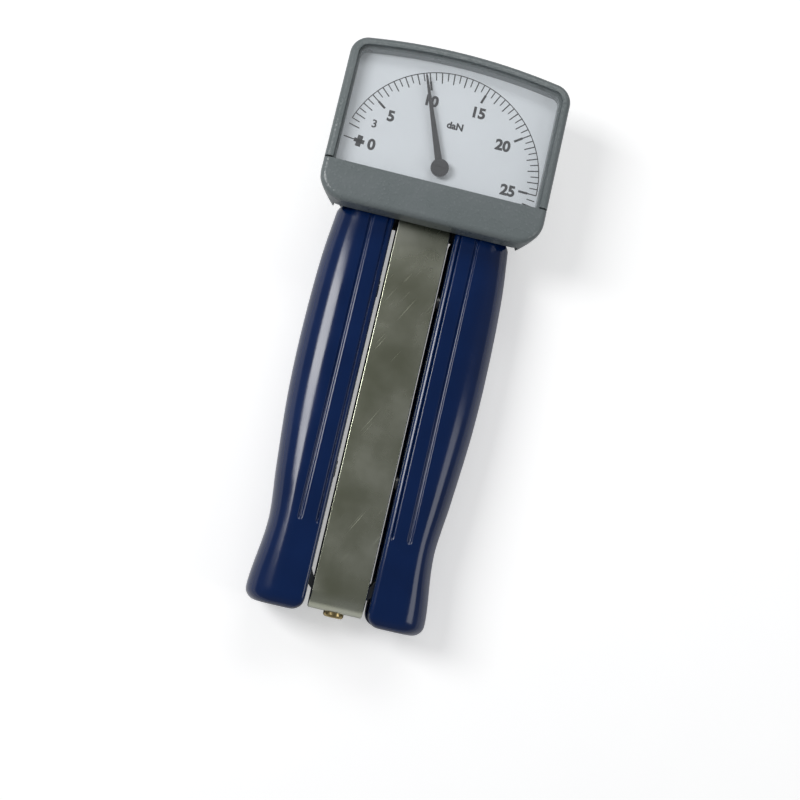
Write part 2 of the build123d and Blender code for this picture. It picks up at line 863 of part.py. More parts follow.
def sector_lever():
    """Toothed sector on one spoke, with a fork at right angles that takes the drive pin."""
    flank = tooth_flank(sector_pitch)
    step = 2 * pi / sector_teeth
    line = radians(mesh_angle)
    points = []
    for n in range(sector_first_tooth, sector_last_tooth + 1):
        middle = line + n * step
        points += [polar(radius, middle - half, sector_x, sector_y) for radius, half in flank]
        points += [polar(radius, middle + half, sector_x, sector_y) for radius, half in reversed(flank)]
    inner = sector_pitch - sector_rim
    first = line + (sector_first_tooth - 0.5) * step
    last = line + (sector_last_tooth + 0.5) * step
    root = flank[0][0]
    points.append(polar(root, last, sector_x, sector_y))
    rim_points = 8
    for n in range(rim_points + 1):
        points.append(polar(inner, last + (first - last) * n / rim_points, sector_x, sector_y))
    points.append(polar(root, first, sector_x, sector_y))
    top_z = sector_low_z + sector_thickness
    sector = flat_plate(points, sector_low_z, top_z)
    spoke = block(0, inner + 0.4, -sector_spoke / 2, sector_spoke / 2, sector_low_z, top_z)
    sector += Pos(sector_x, sector_y, 0) * Rot(0, 0, mesh_angle) * spoke
    sector += disc(sector_hub_radius, sector_low_z, top_z, sector_x, sector_y)
    fork_end = sector_arm + fork_reach
    sector += block(
        sector_x - fork_width / 2, sector_x + fork_width / 2, sector_y - fork_end, sector_y, sector_low_z, top_z
    )
    slot_half = drive_pin_radius + drive_pin_clearance
    slot_start = sector_arm - drive_pin_radius - 0.3
    sector -= block(
        sector_x - slot_half, sector_x + slot_half, sector_y - fork_end - 1, sector_y - slot_start, 0, head_depth
    )
    return sector - disc(arbor_radius + press_clearance, 0, head_depth, sector_x, sector_y)


def sector_arbor():
    shaft = disc(arbor_radius, plate_underside - 0.4, bridge_top + 0.4, sector_x, sector_y)
    lower = ring(
        arbor_radius + 0.8, arbor_radius - 0.1, plate_top + 0.3, sector_low_z, sector_x, sector_y
    )
    return shaft + lower


def hairspring_point(share):
    """A point on the spiral, from the collet at 0 to the stud at 1."""
    angle = 2 * pi * hairspring_turns * share
    radius = spring_collet_radius + hairspring_wire + (hairspring_outer - spring_collet_radius) * share
    return polar(radius, angle, 0, pivot_y)


def hairspring_end():
    return hairspring_point(1.0)


def hairspring_low_z():
    return pinion_low_z + pinion_height + 0.15


def hairspring():
    steps = 54
    line = [Vector(*hairspring_point(n / steps)) for n in range(steps + 1)]
    centre = Vector(0, pivot_y)
    half = hairspring_wire / 2
    outer = [p + (p - centre).normalized() * half for p in line]
    inner = [p - (p - centre).normalized() * half for p in line]
    points = [(p.X, p.Y) for p in outer] + [(p.X, p.Y) for p in reversed(inner)]
    low_z = hairspring_low_z()
    strip = flat_plate(points, low_z, low_z + hairspring_height)
    stud_x, stud_y = hairspring_end()
    return strip - disc(arbor_radius / 2 + press_clearance, 0, head_depth, stud_x, stud_y)


def hairspring_collet():
    low_z = hairspring_low_z()
    top_z = low_z + hairspring_height
    return ring(spring_collet_radius, arbor_radius + press_clearance, low_z, top_z, 0, pivot_y)


def hairspring_stud():
    stud_x, stud_y = hairspring_end()
    return disc(arbor_radius / 2, hairspring_low_z(), bridge_top + 0.3, stud_x, stud_y)


def pointer():
    root_half = pointer_root_width / 2
    tip_half = pointer_tip_width / 2
    blade = make_face(
        Polyline((0, root_half), (pointer_length - 0.6, tip_half), (pointer_length, 0),
                 (pointer_length - 0.6, -tip_half), (0, -root_half), close=True)
    )
    needle = extrude(blade, amount=pointer_thickness) + Cylinder(hub_radius, pointer_thickness, align=MIN_Z)
    needle -= Cylinder(arbor_radius + press_clearance, 4)
    return Pos(0, pivot_y, pointer_z) * Rot(0, 0, pointer_angle) * needle


def pointer_hub():
    low_z = pointer_z + pointer_thickness
    hub = disc(hub_radius, low_z, low_z + hub_height)
    hub = chamfer(hub.edges().filter_by_position(Axis.Z, low_z + hub_height, low_z + hub_height), 0.25)
    hub -= disc(arbor_radius + press_clearance, low_z - 1, low_z + 0.45)
    hub -= block(-1.2, 1.2, -0.25, 0.25, low_z + hub_height - 0.2, low_z + hub_height + 1)
    return Pos(0, pivot_y, 0) * hub


def return_arm():
    """The small arm on the pointer shaft that the reset finger turns back."""
    low_z = knob_shaft_top + finger_pin_height + return_arm_lift
    arm = disc(1.8, low_z, low_z + 0.9) + block(0, finger_reach, -0.8, 0.8, low_z, low_z + 0.9)
    arm -= disc(arbor_radius + press_clearance, 0, head_depth)
    return Pos(0, pivot_y, 0) * Rot(0, 0, pointer_angle) * arm


# Reset knob


def reset_knob():
    top_z = knob_lift + knob_height
    knob = disc(knob_radius, knob_lift, top_z)
    knob = chamfer(knob.edges().filter_by_position(Axis.Z, knob_lift, knob_lift), 0.5)
    for n in range(knob_flutes):
        x, y = polar(knob_radius + 0.1, 2 * pi * n / knob_flutes)
        knob -= disc(knob_flute_radius, 0, head_depth, x, y)
    knob -= block(-knob_radius * 0.8, knob_radius * 0.8, -0.7, 0.7, 0, knob_lift + 1.1)
    knob += disc(knob_shaft_radius, top_z, knob_shaft_top)
    return Pos(0, pivot_y, 0) * knob


def knob_clip():
    low_z = knob_lift + knob_height + knob_well_clearance + knob_well_wall + seat_clearance
    clip = ring(clip_radius, knob_shaft_radius + press_clearance, low_z, low_z + clip_thickness)
    clip -= block(0, clip_radius + 1, -0.8, 0.8, 0, head_depth)
    return Pos(0, pivot_y, 0) * clip


def reset_finger():
    low_z = knob_shaft_top - finger_thickness
    finger = disc(clip_radius, low_z, knob_shaft_top)
    finger += block(0, finger_reach, -finger_width / 2, finger_width / 2, low_z, knob_shaft_top)
    finger -= disc(knob_shaft_radius + press_clearance, 0, head_depth)
    finger += disc(finger_pin_radius, low_z, knob_shaft_top + finger_pin_height, finger_reach - 0.8, 0)
    return Pos(0, pivot_y, 0) * Rot(0, 0, pointer_angle - 90) * finger


def group(solids):
    return Compound(children=[s if isinstance(s, Solid) else s.solid() for s in solids])


NODES = {
    "front_case": front_case,
    "rear_case": rear_case,
    "window_frame": window_frame,
    "window_lens": window_lens,
    "dial_plate": dial_plate,
    "dial_screws": dial_screws,
    "case_screws": case_screws,
    "strap_top_screws": strap_top_screws,
    "center_strap": center_strap,
    "main_spring": main_spring,
    "saddle_washer": saddle_washer,
    "anchor_block": anchor_block,
    "anchor_nut": anchor_nut,
    "end_screw": end_screw,
    "movement_plate": movement_plate,
    "movement_bridge": movement_bridge,
    "movement_pillars": movement_pillars,
    "movement_screws": movement_screws,
    "arbor_bushes": arbor_bushes,
    "stop_pins": stop_pins,
    "hairspring_stud": hairspring_stud,
    "right_grip": right_grip,
    "right_grip_screws": right_grip_screws,
    "right_guide_arm": right_guide_arm,
    "right_arm_rivets": right_arm_rivets,
    "left_grip": lambda: mirrored(right_grip()),
    "left_grip_screws": lambda: [mirrored(s) for s in right_grip_screws()],
    "left_drive_arm": left_drive_arm,
    "left_arm_rivets": lambda: [mirrored(s) for s in right_arm_rivets()],
    "drive_pin": drive_pin,
    "sector_lever": sector_lever,
    "sector_arbor": sector_arbor,
    "pinion_arbor": pinion_arbor,
    "pointer": pointer,
    "pointer_hub": pointer_hub,
    "hairspring": hairspring,
    "hairspring_collet": hairspring_collet,
    "return_arm": return_arm,
    "reset_knob": reset_knob,
    "knob_clip": knob_clip,
    "reset_finger": reset_finger,
}


def main():
    os.makedirs("parts", exist_ok=True)
    for name, make in NODES.items():
        shape = make()
        if isinstance(shape, list):
            shape = group(shape)
        export_step(shape, f"parts/{name}.step")
    print(f"squeeze {-squeeze_to_zero:.4f} to {squeeze_to_full:.4f} deg")
    print(f"sector {-sector_to_zero:.4f} to {sector_to_full:.4f} deg, ratio {lever_ratio:.5f}")
    print(f"pointer ratio {train_ratio:.5f}, sector at {sector_x:.4f}, {sector_y:.4f}")
    print(f"hinges at {hinge_x:.3f}, {bend_y:.3f}")


main()
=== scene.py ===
import json
import bmesh
import bpy
from math import cos, radians, sin, sqrt
from mathutils import Matrix, Vector

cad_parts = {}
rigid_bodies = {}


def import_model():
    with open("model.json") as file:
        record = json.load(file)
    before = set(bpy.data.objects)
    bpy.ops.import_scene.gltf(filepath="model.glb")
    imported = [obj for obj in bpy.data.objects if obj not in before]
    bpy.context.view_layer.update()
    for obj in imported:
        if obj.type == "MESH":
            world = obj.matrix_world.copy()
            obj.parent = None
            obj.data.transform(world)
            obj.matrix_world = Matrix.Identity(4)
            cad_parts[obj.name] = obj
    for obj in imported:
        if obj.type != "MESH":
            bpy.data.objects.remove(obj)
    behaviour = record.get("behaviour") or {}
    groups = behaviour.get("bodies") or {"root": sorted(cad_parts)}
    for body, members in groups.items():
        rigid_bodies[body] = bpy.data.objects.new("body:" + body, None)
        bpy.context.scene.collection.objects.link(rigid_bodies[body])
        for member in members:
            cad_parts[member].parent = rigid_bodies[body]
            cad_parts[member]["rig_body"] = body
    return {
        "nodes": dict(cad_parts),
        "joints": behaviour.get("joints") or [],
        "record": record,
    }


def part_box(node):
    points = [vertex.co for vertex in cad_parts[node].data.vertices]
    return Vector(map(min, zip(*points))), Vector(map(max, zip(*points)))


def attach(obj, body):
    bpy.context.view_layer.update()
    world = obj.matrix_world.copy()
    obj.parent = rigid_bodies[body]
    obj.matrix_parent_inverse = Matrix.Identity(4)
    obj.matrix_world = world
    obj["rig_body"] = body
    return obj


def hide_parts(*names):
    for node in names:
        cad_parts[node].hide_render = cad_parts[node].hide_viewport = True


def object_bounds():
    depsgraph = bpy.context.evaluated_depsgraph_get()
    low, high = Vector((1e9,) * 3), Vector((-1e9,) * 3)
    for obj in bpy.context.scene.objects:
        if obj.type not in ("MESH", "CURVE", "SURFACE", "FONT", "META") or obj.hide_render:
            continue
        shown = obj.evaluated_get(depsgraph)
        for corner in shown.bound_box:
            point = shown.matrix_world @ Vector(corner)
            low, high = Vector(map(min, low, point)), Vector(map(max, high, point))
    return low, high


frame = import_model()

# The frame's own box. Its bottom sets the table's height.
cad_low, cad_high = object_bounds()

# All lengths below are in millimetres and all angles in degrees, unless a comment says otherwise.
MM = 0.001
nodes = frame["nodes"]


# Places read from the frame


def low(node):
    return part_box(node)[0] / MM


def high(node):
    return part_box(node)[1] / MM


joint_place = {joint["name"]: Vector(joint["pos_m"]) / MM for joint in frame["joints"]}
pivot_x, pivot_y = joint_place["pointer_turn"].xy
dial_z = high("dial_plate").z
grip_low_y = low("right_grip").y
grip_high_y = high("right_grip").y
grip_inner_x = low("right_grip").x
grip_depth = high("right_grip").z
spring_high_z = high("main_spring").z
spring_outer_x = high("main_spring").x

# Camera, as the photograph was taken: almost straight above the bottom end. The lens is its focal length.
camera_place = (-13.8, -64.3, 354.2)
camera_target = (3.84, -17.45, 20.0)
camera_lean = 12.95
camera_lens = 58.5
sensor_width = 36.0

# Light. World and glow are strengths without a unit.
world_strength = 0.23
table_glow = 0.42
table_size = 3000.0

# Dial print. Its middle is the pointer's shaft, and its angles run from the reader's right.
print_height = 0.04
scale_radius = 26.7
scale_end_angle = -1.1
degrees_per_unit = 7.26
arc_first = 2.5
scale_last = 25
first_mark = 2
last_mark = 26
zero_angle = 173.8
arc_width = 0.24
arc_steps = 60
arc_overlap = 0.02

# Marks of the dial: where each starts and ends below the arc, and its width.
unit_mark = (0.0, 3.0, 0.3)
half_mark = (0.0, 2.2, 0.27)
five_mark = ((2.4, 4.9, 0.6), (0.0, 2.5, 0.3))
zero_cross = ((0.0, 4.0, 0.3), (3.6, 5.0, 3.1), (2.9, 5.7, 1.1))

# Words of the dial: the text, its place across and up from the shaft, its height and the weight added to it.
size_per_height = 1.38
dial_words = (
    ("0", -18.9, 2.1, 2.9, 0.17),
    ("5", -15.6, 11.0, 2.9, 0.17),
    ("10", -6.2, 17.8, 2.9, 0.17),
    ("15", 6.8, 17.7, 2.9, 0.17),
    ("20", 15.1, 10.6, 2.9, 0.17),
    ("25", 19.0, -1.1, 2.9, 0.17),
    ("3", -19.4, 7.9, 2.2, 0.06),
    ("daN", 1.6, 12.6, 1.9, 0.1),
)

# Grip form. Each pair of grip_side says how far below the grip's top, and how far out its side stands there.
grip_side = (
    (0.0, 23.8), (14.0, 25.1), (34.0, 25.6), (52.0, 25.2),
    (72.0, 23.6), (86.0, 22.3), (101.0, 23.8), (107.0, 24.0),
)
grip_flat_to = 15.8
grip_corner_radius = 1.2
grip_end_radius = 3.4
grip_roundness = 0.62
grip_round_steps = 14
groove_places = (9.6, 14.4)
groove_half_width = 0.55
groove_rim = 0.12
groove_depth = 0.5
groove_end_above_bottom = 22.6
groove_run_out = 0.9
channel_edge = 0.05

# Slices of the grip: angles over its rounded end, places about the grooves' end, and the step between the others.
end_slice_angles = (0, 12, 24, 36, 48, 60, 72, 90)
groove_end_slices = (-0.6, -0.1, 0.0, 0.25, 0.5, 0.7, 0.9, 1.3)
slice_step = 2.5
slice_gap_at_groove = 1.6
slice_gap_at_top = 2.6

# Shading of the pieces: points closer than this are merged, and edges blunter than the angle look smooth.
merge_distance = 0.002
metal_smooth_angle = 30
grip_smooth_angle = 50


# Modelling helpers


def make_active(piece):
    bpy.ops.object.select_all(action="DESELECT")
    piece.select_set(True)
    bpy.context.view_layer.objects.active = piece


def open_edit(piece):
    """Edit mode with every point selected."""
    make_active(piece)
    bpy.ops.object.mode_set(mode="EDIT")
    bpy.ops.mesh.select_mode(type="VERT")
    bpy.ops.mesh.select_all(action="SELECT")


def close_edit():
    bpy.ops.object.mode_set(mode="OBJECT")


def apply_place(piece):
    make_active(piece)
    bpy.ops.object.transform_apply(location=True, rotation=True, scale=True)


def smooth(piece, angle):
    make_active(piece)
    bpy.ops.object.shade_smooth_by_angle(angle=radians(angle))


def join(pieces):
    make_active(pieces[0])
    for piece in pieces:
        piece.select_set(True)
    bpy.ops.object.join()
    return bpy.context.object


def finish_piece(piece, name, body, material, replaced=()):
    piece.name = name
    piece.data.materials.clear()
    piece.data.materials.append(material)
    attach(piece, body)
    if replaced:
        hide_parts(*replaced)


def merged_copy(node):
    """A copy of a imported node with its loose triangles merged, shaded smooth."""
    source = nodes[node]
    piece = source.copy()
    piece.data = source.data.copy()
    piece.parent = None
    for key in list(piece.keys()):
        del piece[key]
    bpy.context.scene.collection.objects.link(piece)
    open_edit(piece)
    bpy.ops.mesh.remove_doubles(threshold=merge_distance * MM)
    close_edit()
    if piece.data.has_custom_normals:
        make_active(piece)
        bpy.ops.mesh.customdata_custom_splitnormals_clear()
    smooth(piece, metal_smooth_angle)
    return piece


# Node building helpers for the materials


class Nodes:
    """Adds nodes to a tree and joins them by socket name."""

    def __init__(self, tree):
        self.tree = tree
        self.column = 0

    def add(self, kind, inputs=None, **settings):
        node = self.tree.nodes.new(kind)
        self.column += 1
        node.location = (180 * self.column, 0)
        for key, value in settings.items():
            setattr(node, key, value)
        for key, value in (inputs or {}).items():
            self.feed(node.inputs[key], value)
        return node

    def feed(self, socket, value):
        if isinstance(value, bpy.types.NodeSocket):
            self.link(value, socket)
        else:
            socket.default_value = value

    def link(self, source, target):
        self.tree.links.new(source, target)

    def math(self, operation, a, b):
        return self.add("ShaderNodeMath", {0: a, 1: b}, operation=operation).outputs[0]

    def vector_math(self, operation, a, b):
        return self.add("ShaderNodeVectorMath", {0: a, 1: b}, operation=operation).outputs[0]

    def mix(self, factor, a, b):
        return self.add("ShaderNodeMix", {0: factor, 6: a, 7: b}, data_type="RGBA").outputs[2]

    def ramp(self, value, from_low, from_high, to_low, to_high):
        inputs = {0: value, 1: from_low, 2: from_high, 3: to_low, 4: to_high}
        return self.add("ShaderNodeMapRange", inputs).outputs[0]

    def place(self):
        return self.add("ShaderNodeTexCoord").outputs["Object"]

    def noise(self, place, scale, detail, output=0):
        inputs = {"Vector": place, "Scale": scale, "Detail": detail}
        return self.add("ShaderNodeTexNoise", inputs).outputs[output]

    def group(self, group, **values):
        inputs = {key.replace("_", " "): value for key, value in values.items()}
        return self.add("ShaderNodeGroup", inputs, node_tree=group).outputs


def new_group(name, inputs, outputs):
    """An empty node group whose inputs and outputs are all plain numbers."""
    group = bpy.data.node_groups.new(name, "ShaderNodeTree")
    for label, value in inputs:
        socket = group.interface.new_socket(label, in_out="INPUT", socket_type="NodeSocketFloat")
        socket.default_value = value
    for label in outputs:
        group.interface.new_socket(label, in_out="OUTPUT", socket_type="NodeSocketFloat")
    tree = Nodes(group)
    start = tree.add("NodeGroupInput")
    end = tree.add("NodeGroupOutput")
    return group, tree, start.outputs, end.inputs


# Effects that several materials use. Patterns on Object coordinates are scaled per metre.


def hammered_group():
    """The shallow pits and beads of hammered enamel: a height, and a mask of the beads' tops, where the enamel
    gets a painted highlight.
    """
    group, tree, start, end = new_group(
        "hammered enamel relief", [("Bead Size mm", 1.0), ("Unevenness", 0.5)], ["Height", "Bead Glints"]
    )
    place = tree.place()
    scale = tree.math("DIVIDE", 1000.0, start["Bead Size mm"])
    drift = tree.noise(place, 900.0, 2.0, "Color")
    shift = tree.vector_math("MULTIPLY", drift, (0.0004, 0.0004, 0.0004))
    moved = tree.vector_math("ADD", place, shift)
    cells = tree.add(
        "ShaderNodeTexVoronoi", {"Vector": moved, "Scale": scale, "Smoothness": 0.6}, feature="SMOOTH_F1"
    ).outputs["Distance"]
    beads = tree.ramp(cells, 0.1, 0.55, 1.0, 0.0)
    uneven = tree.math("MULTIPLY", tree.noise(place, 380.0, 3.0), start["Unevenness"])
    tree.link(tree.math("ADD", beads, uneven), end["Height"])
    # Mask of the beads' tops, which carries the enamel's painted highlight.
    tree.link(tree.ramp(beads, 0.72, 0.95, 0.0, 1.0), end["Bead Glints"])
    return group


def smudge_group():
    """Soft cloudy marks, as fingers leave, and fine dust specks."""
    group, tree, start, end = new_group(
        "smudges and dust", [("Cloud Size mm", 12.0), ("Speck Size mm", 0.6)], ["Clouds", "Specks"]
    )
    place = tree.place()
    clouds = tree.noise(place, tree.math("DIVIDE", 1000.0, start["Cloud Size mm"]), 5.0)
    speck_scale = tree.math("DIVIDE", 1000.0, start["Speck Size mm"])
    specks = tree.add("ShaderNodeTexVoronoi", {"Vector": place, "Scale": speck_scale}).outputs["Distance"]
    dots = tree.ramp(specks, 0.12, 0.05, 0.0, 1.0)
    where = tree.ramp(tree.noise(place, 420.0, 2.0), 0.58, 0.66, 0.0, 1.0)
    tree.link(tree.ramp(clouds, 0.35, 0.7, 0.0, 1.0), end["Clouds"])
    tree.link(tree.math("MULTIPLY", dots, where), end["Specks"])
    return group


def scratch_group():
    """The rolled grain along a metal strip, and fine scratches across it at a slant."""
    group, tree, start, end = new_group(
        "fine scratches", [("Along per mm", 0.05), ("Across per mm", 6.0)], ["Grain", "Scratches"]
    )
    place = tree.place()
    along = tree.math("MULTIPLY", start["Along per mm"], 1000.0)
    across = tree.math("MULTIPLY", start["Across per mm"], 1000.0)
    stretch = tree.add("ShaderNodeCombineXYZ", {0: across, 1: along, 2: along}).outputs[0]
    grain = tree.noise(tree.vector_math("MULTIPLY", place, stretch), 1.0, 4.0)
    slanted = tree.add("ShaderNodeMapping", {"Vector": place, "Rotation": (0.0, 0.0, 0.5)}).outputs[0]
    lines = tree.noise(tree.vector_math("MULTIPLY", slanted, (2600.0, 60.0, 60.0)), 1.0, 2.0)
    tree.link(grain, end["Grain"])
    tree.link(tree.ramp(lines, 0.7, 0.76, 0.0, 1.0), end["Scratches"])
    return group


HAMMERED = hammered_group()
SMUDGES = smudge_group()
SCRATCHES = scratch_group()


# Materials


def new_material(name, **sockets):
    material = bpy.data.materials.new(name)
    material.use_nodes = True
    shader = material.node_tree.nodes["Principled BSDF"]
    for key, value in sockets.items():
        shader.inputs[key.replace("_", " ")].default_value = value
    return material, Nodes(material.node_tree), shader


def set_color(tree, shader, clouds, dark, light, specks=None, speck_strength=0.0, speck_color=None):
    """A colour that drifts between two close ones with the clouds, with a third over it on the specks: dust on
    most materials, a painted highlight on the enamel's beads.
    """
    color = tree.mix(clouds, dark, light)
    if specks is not None:
        color = tree.mix(tree.math("MULTIPLY", specks, speck_strength), color, speck_color)
    tree.link(color, shader.inputs["Base Color"])


def set_roughness(tree, shader, clouds, clean, smudged):
    tree.link(tree.ramp(clouds, 0.0, 1.0, clean, smudged), shader.inputs["Roughness"])


def set_bump(tree, shader, height, strength, distance):
    node = tree.add("ShaderNodeBump", {"Height": height, "Strength": strength, "Distance": distance * MM})
    tree.link(node.outputs[0], shader.inputs["Normal"])


def srgb(red, green, blue):
    """A colour as read off a screen, turned to the linear values that a shader takes."""
    def linear(value):
        value /= 255
        return value / 12.92 if value <= 0.04045 else ((value + 0.055) / 1.055) ** 2.4

    return (linear(red), linear(green), linear(blue), 1.0)


def enamel_material():
    material, tree, shader = new_material("grey hammered enamel", Metallic=0.0, IOR=1.52)
    relief = tree.group(HAMMERED, Bead_Size_mm=0.85, Unevenness=0.6)
    clouds = tree.group(SMUDGES, Cloud_Size_mm=9.0, Speck_Size_mm=0.5)["Clouds"]
    # A pale colour goes over the beads' tops. It is a painted highlight in place of the glints that hammered
    # enamel shows.
    dark, light, bead_glint = srgb(112, 120, 121), srgb(115, 122, 124), srgb(205, 212, 214)
    set_color(tree, shader, clouds, dark, light, relief["Bead Glints"], 0.05, bead_glint)
    set_roughness(tree, shader, clouds, 0.26, 0.36)
    set_bump(tree, shader, relief["Height"], 0.6, 0.07)
    return material


def blue_material():
    material, tree, shader = new_material("deep blue moulded plastic", IOR=1.5)
    marks = tree.group(SMUDGES, Cloud_Size_mm=14.0, Speck_Size_mm=0.7)
    dark, light, dust = srgb(0, 30, 76), srgb(0, 34, 84), srgb(110, 140, 180)
    set_color(tree, shader, marks["Clouds"], dark, light, marks["Specks"], 0.1, dust)
    set_roughness(tree, shader, marks["Clouds"], 0.12, 0.2)
    set_bump(tree, shader, tree.noise(tree.place(), 130.0, 1.0), 0.12, 0.25)
    return material


def strap_material():
    material, tree, shader = new_material("bright rolled steel", Metallic=1.0)
    marks = tree.group(SMUDGES, Cloud_Size_mm=16.0, Speck_Size_mm=0.5)
    lines = tree.group(SCRATCHES, Along_per_mm=0.04, Across_per_mm=5.0)
    dark, light, spot = srgb(186, 189, 166), srgb(200, 202, 188), srgb(96, 97, 90)
    set_color(tree, shader, marks["Clouds"], dark, light, marks["Specks"], 0.5, spot)
    smudged = tree.ramp(marks["Clouds"], 0.0, 1.0, 0.2, 0.34)
    scratched = tree.math("MULTIPLY", lines["Scratches"], 0.2)
    tree.link(tree.math("ADD", smudged, scratched), shader.inputs["Roughness"])
    height = tree.math("SUBTRACT", tree.math("MULTIPLY", lines["Grain"], 0.5), lines["Scratches"])
    set_bump(tree, shader, height, 0.1, 0.02)
    return material


def metal_material(name, color, roughness, grain=0.15):
    """Plain metal, darker where it has no smudges."""
    material, tree, shader = new_material(name, Metallic=1.0)
    clouds = tree.group(SMUDGES, Cloud_Size_mm=5.0, Speck_Size_mm=0.5)["Clouds"]
    lines = tree.group(SCRATCHES, Along_per_mm=0.4, Across_per_mm=6.0)
    darker = (color[0] * 0.7, color[1] * 0.7, color[2] * 0.7, 1.0)
    set_color(tree, shader, clouds, darker, color)
    set_roughness(tree, shader, clouds, roughness, roughness + 0.12)
    set_bump(tree, shader, lines["Grain"], grain, 0.03)
    return material


def dial_material():
    material, tree, shader = new_material("dial white", Roughness=0.5, IOR=1.45)
    marks = tree.group(SMUDGES, Cloud_Size_mm=18.0, Speck_Size_mm=0.35)
    dark, light, dust = srgb(226, 230, 233), srgb(230, 234, 237), srgb(150, 152, 160)
    set_color(tree, shader, marks["Clouds"], dark, light, marks["Specks"], 0.1, dust)
    set_bump(tree, shader, tree.noise(tree.place(), 4000.0, 2.0), 0.04, 0.02)
    return material


def black_material(name, roughness):
    material, tree, shader = new_material(name)
    clouds = tree.group(SMUDGES, Cloud_Size_mm=3.0, Speck_Size_mm=0.4)["Clouds"]
    set_color(tree, shader, clouds, (0.006, 0.006, 0.007, 1), (0.012, 0.012, 0.014, 1))
    set_roughness(tree, shader, clouds, roughness, roughness + 0.15)
    return material


def window_material():
    """Clear plastic that lets the lamps through to the dial."""
    material, tree, shader = new_material(
        "clear window", Base_Color=(0.9, 0.92, 0.95, 1.0), Roughness=0.03, IOR=1.45, Alpha=0.06
    )
    clear = tree.add("ShaderNodeBsdfTransparent", {"Color": (0.95, 0.96, 0.97, 1.0)}).outputs[0]
    shadow_ray = tree.add("ShaderNodeLightPath").outputs["Is Shadow Ray"]
    both = tree.add("ShaderNodeMixShader", {0: shadow_ray, 1: shader.outputs[0], 2: clear}).outputs[0]
    tree.link(both, material.node_tree.nodes["Material Output"].inputs["Surface"])
    return material


def table_material():
    """White paper-like table that glows a little to the camera, so that it stays white all over."""
    white = (1.0, 1.0, 1.0, 1.0)
    material, tree, shader = new_material("white table", Roughness=0.9, IOR=1.2, Emission_Color=white)
    fine = tree.noise(tree.place(), 60.0, 3.0)
    set_color(tree, shader, fine, (0.86, 0.86, 0.865, 1), (0.88, 0.88, 0.88, 1))
    camera_ray = tree.add("ShaderNodeLightPath").outputs["Is Camera Ray"]
    tree.link(tree.math("MULTIPLY", camera_ray, table_glow), shader.inputs["Emission Strength"])
    return material


PRINT_BLACK = black_material("printing ink", 0.5)
SLOT_LOOKS = {
    "grey_enamel": enamel_material(),
    "blue_plastic": blue_material(),
    "clear_window": window_material(),
    "dial_white": dial_material(),
    "pointer_black": black_material("black pointer paint", 0.35),
    "bright_steel": strap_material(),
    "spring_steel": metal_material("oiled spring steel", srgb(118, 122, 128), 0.3),
    "yellow_steel": metal_material("yellow plated steel", srgb(206, 184, 132), 0.22, 0.05),
    "plain_steel": metal_material("machined steel", srgb(176, 178, 180), 0.28),
    "movement_brass": metal_material("satin brass", srgb(214, 178, 110), 0.3),
    "black_plastic": black_material("black moulded plastic", 0.4),
}


# Camera, table and lights


def add_camera():
    place = Vector(camera_place) * MM
    forward = (Vector(camera_target) * MM - place).normalized()
    lean = radians(camera_lean)
    right = forward.cross(Vector((-sin(lean), cos(lean), 0.0))).normalized()
    turn = Matrix((right, right.cross(forward), -forward)).transposed().to_4x4()
    data = bpy.data.cameras.new("camera")
    data.lens = camera_lens
    data.sensor_width = sensor_width
    data.clip_start = 10.0 * MM
    data.clip_end = 10000.0 * MM
    camera = bpy.data.objects.new("camera", data)
    camera.matrix_world = Matrix.Translation(place) @ turn
    bpy.context.scene.collection.objects.link(camera)
    bpy.context.scene.camera = camera


def add_lamp(name, place, target, size, power):
    """A rectangular lamp that looks at the target. Its power is in watts."""
    data = bpy.data.lights.new(name, "AREA")
    data.shape = "RECTANGLE"
    data.size, data.size_y = size[0] * MM, size[1] * MM
    data.energy = power
    lamp = bpy.data.objects.new(name, data)
    lamp.location = Vector(place) * MM
    lamp.rotation_mode = "QUATERNION"
    lamp.rotation_quaternion = ((Vector(target) - Vector(place)) * MM).to_track_quat("-Z", "Y")
    bpy.context.scene.collection.objects.link(lamp)


def add_table():
    bpy.ops.mesh.primitive_plane_add(size=table_size * MM, location=(0.0, 0.0, cad_low.z))
    table = bpy.context.object
    table.name = "table"
    apply_place(table)
    table.data.materials.append(table_material())


def add_world():
    """A soft sky, darker straight above. The camera sees it plain white."""
    world = bpy.data.worlds.new("soft studio")
    bpy.context.scene.world = world
    world.use_nodes = True
    tree = Nodes(world.node_tree)
    background = world.node_tree.nodes["Background"].inputs
    direction = tree.add("ShaderNodeTexCoord").outputs["Generated"]
    height = tree.add("ShaderNodeSeparateXYZ", {0: direction}).outputs["Z"]
    shade = tree.ramp(height, 0.55, 1.0, 1.0, 0.45)
    tint = tree.mix(shade, (0.36, 0.37, 0.33, 1.0), (0.95, 0.97, 1.0, 1.0))
    camera_ray = tree.add("ShaderNodeLightPath").outputs["Is Camera Ray"]
    tree.link(tree.mix(camera_ray, tint, (1.0, 1.0, 1.0, 1.0)), background["Color"])
    tree.link(tree.ramp(camera_ray, 0.0, 1.0, world_strength, 1.0), background["Strength"])


def add_studio():
    bpy.context.scene.view_settings.view_transform = "Standard"
    add_camera()
    add_world()
    add_table()
    add_lamp("key lamp", place=(-330, 60, 420), target=(0, 0, 10), size=(160, 260), power=1.45)
    add_lamp("top lamp", place=(60, 420, 460), target=(0, 20, 10), size=(420, 160), power=0.65)
    add_lamp("side lamp", place=(380, -60, 300), target=(0, 0, 10), size=(200, 200), power=0.3)


# Dial print


def printed_bar(inner, outer, angle, width):
    """One printed bar that lies along a radius of the dial."""
    middle, turn = (inner + outer) / 2, radians(angle)
    x, y = pivot_x + middle * cos(turn), pivot_y + middle * sin(turn)
    bpy.ops.mesh.primitive_plane_add(size=MM, location=(x * MM, y * MM, (dial_z + print_height) * MM))
    bar = bpy.context.object
    bar.scale = (outer - inner, width, 1.0)
    bar.rotation_euler = (0.0, 0.0, turn)
    return bar


def mark(angle, shape):
    start, end, width = shape
    return printed_bar(scale_radius - end, scale_radius - start, angle, width)


def value_angle(value):
    return scale_end_angle + (scale_last - value) * degrees_per_unit


